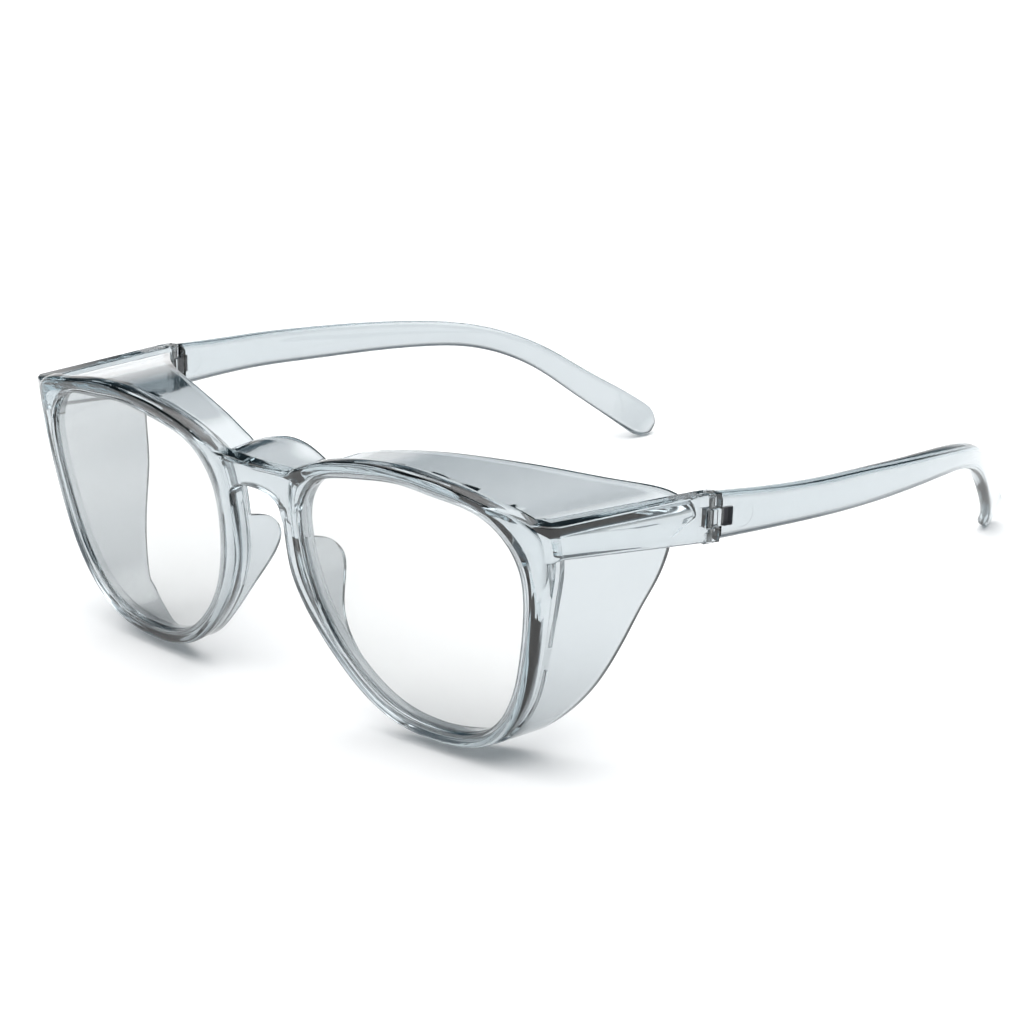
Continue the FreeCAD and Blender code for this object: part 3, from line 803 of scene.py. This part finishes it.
def rounded_loop(width, depth, radius, steps=5):
    """Rounded rectangle as (across, deep) pairs, centred on zero."""
    loop = []
    for quarter, (sign_a, sign_b) in enumerate(((1, 1), (-1, 1), (-1, -1), (1, -1))):
        for step in range(steps + 1):
            turn = math.radians(90 * quarter + 90 * step / steps)
            loop.append((sign_a * (width / 2 - radius) + radius * math.cos(turn),
                         sign_b * (depth / 2 - radius) + radius * math.sin(turn)))
    return loop


def both_sides(points):
    """A half line that starts at x = 0, continued on the other side."""
    points = [tuple(point) for point in points]
    return [(-point[0], *point[1:]) for point in reversed(points[1:])] + points


def bridge_solid(size):
    """Bar between the rims; its lower line is the keyhole above the nose."""
    low_line = even_points(both_sides(KEYHOLE), 81)
    top_line = even_points(both_sides(BRIDGE_TOP), 81)
    depth = size.bridge_depth / MM
    rings = []
    for low, top in zip(low_line, top_line):
        middle = 0.5 * (low + top)
        upright = top - low
        height = np.linalg.norm(upright)
        upright = upright / height
        ring = []
        for a, b in rounded_loop(height, depth, 0.75):
            flat = middle + upright * a
            ring.append((flat[0], front_depth(flat[:1])[0] + depth / 2 + b, flat[1]))
        rings.append(np.array(ring))
    return sweep("bridge", rings)


def bridge_shield_solid(size):
    """Small shield that rises behind the bridge, between the brow shields."""
    wall = size.shield_wall / MM
    front_line = even_points(both_sides(BRIDGE_SHIELD_FRONT), 61)
    rear_line = even_points(both_sides(BRIDGE_SHIELD_REAR), 61)
    rings = []
    for near, far in zip(front_line, rear_line):
        ring = [near + (far - near) * share for share in np.linspace(0, 0.95, 10)]
        run = far - near
        for step_angle in (20, 45, 70, 90, 110, 135, 160):
            turn = math.radians(step_angle)
            place = near + run * (0.95 + 0.05 * math.sin(turn) ** 0.8)
            ring.append(place - np.array([0, 0, 0.5 * wall * (1 - math.cos(turn))]))
        ring += [near + (far - near) * share - np.array([0, 0, wall]) for share in np.linspace(0.95, 0, 10)]
        rings.append(np.array(ring))
    return sweep("bridge_shield", rings)


class GLASSES_OT_front(bpy.types.Operator):
    """Build the clear moulded front with its shields, arms and hinge knuckles"""
    bl_idname = "glasses.front"
    bl_label = "Moulded front"

    def execute(self, context):
        size = context.scene.glasses_front
        gap = MIDDLE_KNUCKLE_HALF + KNUCKLE_CLEARANCE
        half = eye_shell(size, context.scene.glasses_lens)
        arm = combine(arm_solid(), [relief_wedge(-1)], "DIFFERENCE")
        root = END_FACE + ARM_KNUCKLE_ROOT
        knuckles = [knuckle(-1, gap, HINGE_HALF, root), knuckle(-1, -HINGE_HALF, -gap, root)]
        combine(arm, knuckles, "UNION")
        combine(arm, hinge_cutters(context.scene.glasses_hinge), "DIFFERENCE")
        combine(half, [arm], "UNION")
        other = twin(half, "other_half")
        combine(half, [bridge_solid(size), bridge_shield_solid(size), other], "UNION")
        half.name = "clear_front"
        finish_piece(half, "front", ["front_frame"], frame_plastic())
        return {"FINISHED"}


# ---- lenses -------------------------------------------------------------------------------------
def lens_solid(size):
    """Left lens: rings from the middle out, round the thin bevelled edge, and back on the rear face."""
    outline = even_points(OPENING, 200, closed=True)
    outline = outline + outward(outline) * (size.bite / MM)
    middle = np.array(EYE_MIDDLE)
    front = size.setback / MM
    thick = size.thickness / MM
    bevel = 0.25
    rings = []

    def add(inset, share, depth):
        place = middle + (outline - outward(outline) * inset - middle) * share
        rings.append(np.column_stack([place[:, 0], front_depth(place[:, 0]) + depth, place[:, 1]]))

    shares = np.linspace(0.03, 1, 24)
    for share in shares:
        add(bevel, share, front)
    add(0.0, 1.0, front + bevel)
    add(0.0, 1.0, front + thick - bevel)
    for share in shares[::-1]:
        add(bevel, share, front + thick)
    return sweep("lens", rings)


class GLASSES_OT_lenses(bpy.types.Operator):
    """Build the two hard-coated lenses"""
    bl_idname = "glasses.lenses"
    bl_label = "Lenses"

    def execute(self, context):
        left = lens_solid(context.scene.glasses_lens)
        left.name = "clear_lens_left"
        right = twin(left, "clear_lens_right")
        for piece, side in ((left, "left"), (right, "right")):
            finish_piece(piece, "front", ["lens_" + side], lens_plastic())
        return {"FINISHED"}


# ---- temples ------------------------------------------------------------------------------------
def temple_bar():
    """The temple's bar, from the hinge to its rounded paddle tip."""
    start = HINGE @ Vector((0.05, END_FACE, 0.0))
    heading = (HINGE.to_3x3() @ Vector((0, 1, 0))).normalized()
    rows = [((*start,), 8.6, 3.6, 0.0)] + TEMPLE
    centres = np.array([row[0] for row in rows], float)
    knots = np.concatenate([[0], np.cumsum(np.linalg.norm(np.diff(centres, axis=0), axis=1))])
    path = spline(knots, centres)
    shape = spline(knots, [row[1:] for row in rows])
    rings = []

    def add(centre, along, height, thickness, twist):
        level = along.cross(Vector((0, 0, 1))).normalized()
        steep = level.cross(along).normalized()
        turn = math.radians(twist)
        sideways = level * math.cos(turn) - steep * math.sin(turn)
        upwards = steep * math.cos(turn) + level * math.sin(turn)
        rings.append(np.array([centre + sideways * b + upwards * a
                               for a, b in rounded_loop(height, thickness, 0.42 * thickness, 6)]))

    for at in np.linspace(0, knots[-1], 110):
        centre = Vector(path(at)[0])
        along = Vector((path(at + 0.05) - path(at - 0.05))[0]).normalized()
        along = heading.lerp(along, min(at / 8.0, 1.0)).normalized()
        add(centre, along, *shape(at)[0])
    _, height, thickness, twist = rows[-1]
    for step_angle in (12, 24, 36, 48, 60, 70, 79, 86):
        turn = math.radians(step_angle)
        share = math.cos(turn)
        add(centre + along * (TIP_ROUND * math.sin(turn)), along, height * share,
            thickness * (0.35 + 0.65 * share) * min(1.0, 2.6 * share), twist)
    return sweep("temple", rings)


def temple_solid(size):
    """The left temple with its middle knuckle, moulded pocket whose faces carry painted shade, and ejector
    mark.
    """
    half = MIDDLE_KNUCKLE_HALF
    piece = combine(temple_bar(), [relief_wedge(1)], "DIFFERENCE")
    combine(piece, [knuckle(1, -half, half, END_FACE + TEMPLE_KNUCKLE_ROOT)], "UNION")
    piece.data.materials.append(frame_plastic())
    bore = size.bore_radius / MM
    low, high = POCKET
    pocket = block("pocket", low, (OUTER_FACE + 4.0, high[1], high[2]), 0.12, HINGE)
    # the pocket's faces take painted shade: a dark colour for the shade inside the recess
    pocket.data.materials.append(painted_pocket_shade())
    mark_radius, mark_half = 2.3, 1.0
    mark_middle = Matrix.Translation((OUTER_FACE + mark_half - 0.08, 6.4, 0.0))
    mark_place = HINGE @ mark_middle @ Matrix.Rotation(math.pi / 2, 4, "Y")
    profile = [(mark_radius, -mark_half), (mark_radius, mark_half)]
    mark = turned("ejector mark", profile, 48, mark_place)
    bore_cut = turned("bore", [(bore, -2 * half), (bore, 2 * half)], 40, HINGE)
    return combine(piece, [bore_cut, pocket, mark], "DIFFERENCE")


class GLASSES_OT_temples(bpy.types.Operator):
    """Build the two folding temples"""
    bl_idname = "glasses.temples"
    bl_label = "Temples"

    def execute(self, context):
        left = temple_solid(context.scene.glasses_hinge)
        left.name = "clear_temple_left"
        right = twin(left, "clear_temple_right")
        for piece, side in ((left, "left"), (right, "right")):
            finish_piece(piece, "temple_" + side, ["temple_" + side], frame_plastic())
        return {"FINISHED"}


# ---- hinge hardware -----------------------------------------------------------------------------
def screw_solid(size):
    """Slotted countersunk hinge screw."""
    radius = size.screw_radius / MM
    head = size.head_radius / MM
    top = HINGE_HALF - SCREW_HEAD_SINK
    base = top - size.head_height / MM
    bottom = -HINGE_HALF + SCREW_END_SINK
    profile = [(0.6 * radius, bottom), (0.86 * radius, bottom + 0.2), (0.86 * radius, -1.2), (radius, -1.0),
               (radius, base), (head, base + 0.7 * (top - base)), (head, top - 0.1), (head - 0.1, top)]
    shank = turned("screw", profile, 40)
    slot = block("slot", (-2, -SLOT_WIDTH / 2, top - SLOT_DEPTH), (2, SLOT_WIDTH / 2, top + 1))
    return combine(shank, [slot], "DIFFERENCE")


class GLASSES_OT_hardware(bpy.types.Operator):
    """Build the threaded hinge screws and their nuts"""
    bl_idname = "glasses.hardware"
    bl_label = "Hinge screws and nuts"

    def execute(self, context):
        size = context.scene.glasses_hinge
        steel = turned_steel()
        screw = moved(screw_solid(size), HINGE)
        tree, sockets = thread_tree(steel)
        thread = grow("thread", tree, sockets, {
            "Turns": 10.0, "Length": 2.6, "Radius": 0.84 * size.screw_radius / MM, "Ridge": 0.085})
        moved(thread, HINGE @ Matrix.Translation((0, 0, -HINGE_HALF + 0.5)))
        flats = size.nut_flats / MM / 2 / math.cos(math.pi / 6)
        corners = [(flats * math.cos(k * math.pi / 3), flats * math.sin(k * math.pi / 3)) for k in range(6)]
        low = -HINGE_HALF + NUT_SINK
        nut = prism("nut", corners, low, low + size.nut_height / MM, 0.08, HINGE)
        hole = size.screw_radius / MM + 0.04
        combine(nut, [turned("hole", [(hole, -2 * HINGE_HALF), (hole, 0)], 32, HINGE)], "DIFFERENCE")
        pieces = [(screw, "turned_screw", "hinge_screw_", "screw_steel"),
                  (thread, "screw_thread", None, "screw_steel"),
                  (nut, "pressed_nut", "hinge_nut_", "nut_steel")]
        for piece, name, node, slot in pieces:
            other = twin(piece, name + "_right")
            piece.name = name + "_left"
            for solid, side in ((piece, "left"), (other, "right")):
                nodes = [node + side] if node else []
                finish_piece(solid, "front", nodes, steel)
        return {"FINISHED"}


class GLASSES_OT_arm_texture(bpy.types.Operator):
    """Add the small moulded diamonds on top of each arm, ahead of the hinge"""
    bl_idname = "glasses.arm_texture"
    bl_label = "Arm texture"

    def execute(self, context):
        plastic = frame_plastic()
        tree, sockets = diamond_tree(plastic)
        field = grow("diamonds", tree, sockets, {
            "Length": 5.4, "Width": 2.1, "Along": 9, "Across": 4, "Size": 0.36, "Height": 0.2})
        corner = HINGE @ Vector((0, -END_FACE - 3.6, HINGE_HALF))
        front_top = Vector((70.2, 9.6, 19.6))
        heading = (corner - front_top).normalized()
        level = heading.cross(Vector((0, 0, 1))).normalized()
        upright = level.cross(heading).normalized()
        turn = Matrix((level, heading, upright)).transposed().to_4x4()
        middle = HINGE @ Vector((0.05, -END_FACE, HINGE_HALF)) - heading * 4.0
        moved(field, Matrix.Translation(middle + upright * 0.02) @ turn)
        field.name = "arm_diamonds_left"
        other = twin(field, "arm_diamonds_right")
        for piece in (field, other):
            finish_piece(piece, "front", [], plastic, crease=15.0)
        return {"FINISHED"}


# ---- studio -------------------------------------------------------------------------------------
CAMERA_AZIMUTH = 48.13        # degrees from straight in front, towards the wearer's left
CAMERA_HEIGHT = 22.21         # degrees above the lens plane's horizon
CAMERA_ROLL = -6.43
CAMERA_OFFSET = (45.7, 8.3, 612.2)      # right of, above and behind the bridge, as the camera sees it
LENS_LENGTH = 118.4


def camera_matrix():
    around, above, roll = (math.radians(a) for a in (CAMERA_AZIMUTH, CAMERA_HEIGHT, CAMERA_ROLL))
    right = Vector((math.cos(around), math.sin(around), 0))
    back = Vector((math.sin(around) * math.cos(above), -math.cos(around) * math.cos(above), math.sin(above)))
    up = back.cross(right)
    rolled_right = right * math.cos(roll) + up * math.sin(roll)
    rolled_up = up * math.cos(roll) - right * math.sin(roll)
    place = rolled_right * CAMERA_OFFSET[0] + rolled_up * CAMERA_OFFSET[1] + back * CAMERA_OFFSET[2]
    turn = Matrix((rolled_right, rolled_up, back)).transposed().to_4x4()
    stood = STAND @ Matrix.Translation(place) @ turn
    location, rotation, _ = stood.decompose()
    return Matrix.Translation(location) @ rotation.to_matrix().to_4x4()


def studio_world(strength):
    """Pale at the horizon, dark above it, and one wide soft light overhead."""
    world = bpy.data.worlds.new("soft studio")
    bpy.context.scene.world = world
    world.use_nodes = True
    tree = world.node_tree
    direction = tree.nodes.new("ShaderNodeTexCoord")
    split = tree.nodes.new("ShaderNodeSeparateXYZ")
    ramp = tree.nodes.new("ShaderNodeValToRGB")
    tree.links.new(direction.outputs["Generated"], split.inputs[0])
    tree.links.new(split.outputs["Z"], ramp.inputs["Fac"])
    tree.links.new(ramp.outputs["Color"], tree.nodes["Background"].inputs["Color"])
    tree.nodes["Background"].inputs["Strength"].default_value = strength
    stops = [(0.0, (0.345, 0.345, 0.345)), (0.1, (0.31, 0.31, 0.31)), (0.22, (0.026, 0.042, 0.052)),
             (0.6, (0.018, 0.03, 0.038)), (0.72, (0.95, 0.95, 0.95)), (1.0, (1.0, 1.0, 1.0))]
    elements = ramp.color_ramp.elements
    while len(elements) < len(stops):
        elements.new(0.5)
    for element, (place, colour) in zip(elements, stops):
        element.position = place
        element.color = (*colour, 1.0)


class GLASSES_OT_stage(bpy.types.Operator):
    """Set up the floor, the light and the camera"""
    bl_idname = "glasses.stage"
    bl_label = "Stage"

    def execute(self, context):
        look = context.scene.glasses_stage
        sides = 96
        floor = bpy.data.meshes.new("floor")
        rim = [(look.floor_radius * math.cos(2 * math.pi * k / sides),
                look.floor_radius * math.sin(2 * math.pi * k / sides), 0.0) for k in range(sides)]
        floor.from_pydata(rim, [], [tuple(range(sides))])
        stage = bpy.data.objects.new("floor", floor)
        context.scene.collection.objects.link(stage)
        material, tree = new_material("pale floor")
        shader = tree.nodes["Principled BSDF"]
        shader.inputs["Base Color"].default_value = (*look.floor, 1.0)
        shader.inputs["Specular IOR Level"].default_value = 0.1
        vary_roughness(tree, shader, surface_noise(tree, 30.0), 0.8, 0.95)
        floor.materials.append(material)
        studio_world(look.sky_strength)
        camera = bpy.data.objects.new("camera", bpy.data.cameras.new("camera"))
        camera.data.lens = LENS_LENGTH
        camera.data.clip_start = 0.01
        camera.matrix_world = camera_matrix()
        context.scene.collection.objects.link(camera)
        context.scene.camera = camera
        context.scene.view_settings.view_transform = "Standard"
        return {"FINISHED"}


class GLASSES_PT_panel(bpy.types.Panel):
    """Lists the glasses' operators in the sidebar"""
    bl_idname = "GLASSES_PT_panel"
    bl_label = "Safety Glasses"
    bl_space_type = "VIEW_3D"
    bl_region_type = "UI"
    bl_category = "Safety Glasses"

    def draw(self, context):
        for operator in OPERATORS:
            self.layout.operator(operator.bl_idname)
        for group in GROUPS:
            box = self.layout.box()
            for name in GROUPS[group].__annotations__:
                box.prop(getattr(context.scene, group), name)


OPERATORS = [GLASSES_OT_stage, GLASSES_OT_front, GLASSES_OT_lenses, GLASSES_OT_temples, GLASSES_OT_hardware,
             GLASSES_OT_arm_texture]
GROUPS = {
    "glasses_front": GlassesFrontSize,
    "glasses_lens": GlassesLensSize,
    "glasses_hinge": GlassesHingeSize,
    "glasses_look": GlassesLook,
    "glasses_stage": GlassesStageLook,
}


def register():
    for kind in [*GROUPS.values(), *OPERATORS, GLASSES_PT_panel]:
        bpy.utils.register_class(kind)
    for name, kind in GROUPS.items():
        setattr(bpy.types.Scene, name, PointerProperty(type=kind))


def unregister():
    for name in GROUPS:
        delattr(bpy.types.Scene, name)
    for kind in [GLASSES_PT_panel, *reversed(OPERATORS), *reversed(GROUPS.values())]:
        bpy.utils.unregister_class(kind)


def main():
    register()
    bpy.ops.glasses.stage()
    bpy.ops.glasses.front()
    bpy.ops.glasses.lenses()
    bpy.ops.glasses.temples()
    bpy.ops.glasses.hardware()
    bpy.ops.glasses.arm_texture()


if __name__ == "__main__":
    main()
